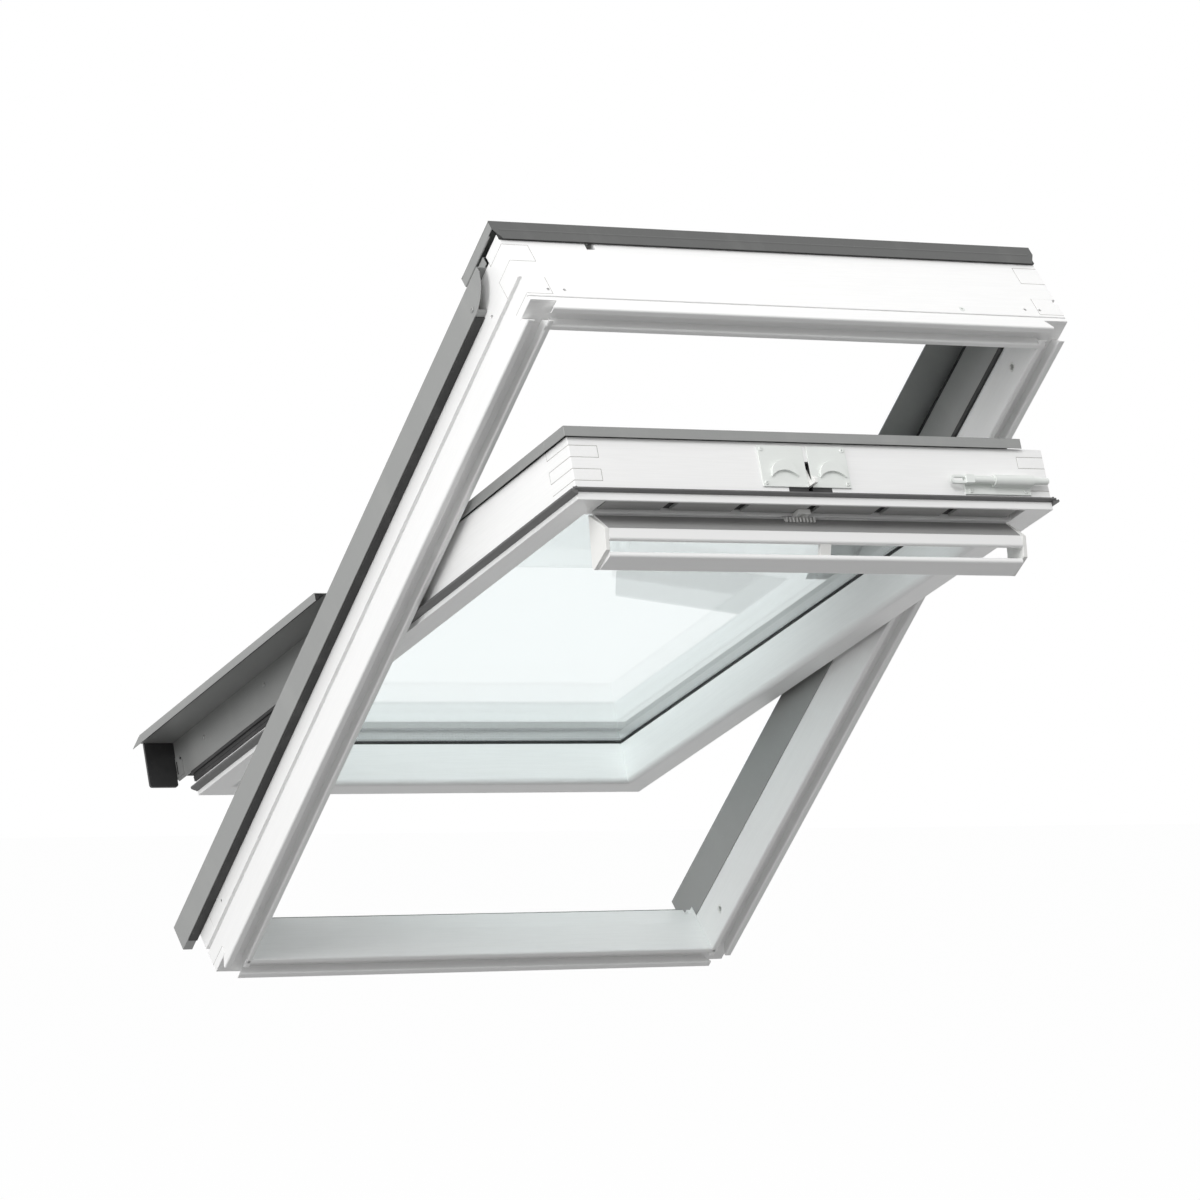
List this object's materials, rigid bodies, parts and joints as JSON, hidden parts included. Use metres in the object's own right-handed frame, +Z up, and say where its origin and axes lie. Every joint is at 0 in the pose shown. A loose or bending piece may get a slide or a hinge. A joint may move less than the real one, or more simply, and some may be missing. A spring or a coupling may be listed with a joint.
{
  "type": "roof window",
  "caption": "Centre-pivot roof window: white timber frame and sash, double glazing, grey sheet covers, a pull bar with a vent flap along the top, shown tilted open.",
  "frame": {"origin": "the middle of the down-slope face of the frame's bottom rail", "axes": "+X to the right seen from the room, +Y horizontally out of the room, +Z up; the frame stands at a roof pitch of 45 degrees and rises towards -Y"},
  "size_m": [0.817, 1.1057, 0.9421],
  "materials": {
    "timber": "white lacquered pine, semi-matt",
    "sheet": "grey coated sheet, fine grain",
    "rubber": "matt black seal",
    "pane": "clear float glass",
    "spacer": "mill finish, fine perforation",
    "steel": "zinc plated",
    "plate": "pale grey-green zinc finish",
    "white_metal": "white powder coat",
    "white_plastic": "white moulding",
    "grey_plastic": "grey moulding",
    "black_plastic": "black moulding",
    "filter": "pale filter foam"
  },
  "bodies": {
    "frame": {"frame_left_stile": "timber", "frame_right_stile": "timber", "frame_head_rail": "timber", "frame_bottom_rail": "timber", "stile_bushes": "grey_plastic", "head_plug": "grey_plastic", "striker_plate": "steel", "bolt_keeper": "grey_plastic", "head_cladding": "sheet", "hood_seal": "rubber", "sill_cladding": "sheet", "frame_screws": "steel", "left_side_cladding": "sheet", "left_end_profile": "rubber", "left_upper_cover": "sheet", "left_cover_gasket": "rubber", "left_frame_gasket": "rubber", "left_frame_hinge": "steel", "right_side_cladding": "sheet", "right_end_profile": "rubber", "right_upper_cover": "sheet", "right_cover_gasket": "rubber", "right_frame_gasket": "rubber", "right_frame_hinge": "steel"},
    "sash": {"sash_top_rail": "timber", "sash_bottom_rail": "timber", "sash_left_stile": "timber", "sash_right_stile": "timber", "vent_filter": "filter", "inner_pane": "pane", "outer_pane": "pane", "glazing_bed": "rubber", "glazing_spacer": "spacer", "glazing_sealant": "black_plastic", "glazing_gasket": "rubber", "sash_seal": "rubber", "lower_seal": "rubber", "sash_top_cladding": "sheet", "sash_bottom_cladding": "sheet", "lock_case": "steel", "lock_plates": "plate", "lock_face": "white_plastic", "bolt_barrel": "steel", "sash_screws": "steel", "sash_left_side_cladding": "sheet", "sash_left_lower_web": "sheet", "left_lower_cover": "sheet", "left_cover_end_cap": "black_plastic", "left_sash_hinge": "steel", "sash_right_side_cladding": "sheet", "sash_right_lower_web": "sheet", "right_lower_cover": "sheet", "right_cover_end_cap": "black_plastic", "right_sash_hinge": "steel"},
    "control_bar": {"vent_flap": "white_metal", "grip_bar": "white_metal", "bar_end_caps": "white_plastic", "bar_bracket": "white_plastic"},
    "latch": {"latch": "white_plastic"},
    "bolt": {"barrel_bolt": "steel"}
  },
  "joints": [
    {"name": "sash_pivot", "type": "hinge", "parent": "frame", "child": "sash", "pos_m": [0, -0.35585, 0.47712], "axis": [1, 0, 0], "range_deg": [-25.2, 118]},
    {"name": "bar_pull", "type": "hinge", "parent": "sash", "child": "control_bar", "pos_m": [0, -0.84434, 0.55797], "axis": [1, 0, 0], "range_deg": [0, 20]},
    {"name": "latch_turn", "type": "hinge", "parent": "sash", "child": "latch", "pos_m": [-0.011, -0.86051, 0.61343], "axis": [1, 0, 0], "range_deg": [0, 15]},
    {"name": "bolt_slide", "type": "slide", "parent": "sash", "child": "bolt", "axis": [1, 0, 0], "range_m": [0, 0.03]}
  ],
  "couplings": [
    {"joint": "latch_turn", "follows": "bar_pull", "ratio": 0.75}
  ]
}
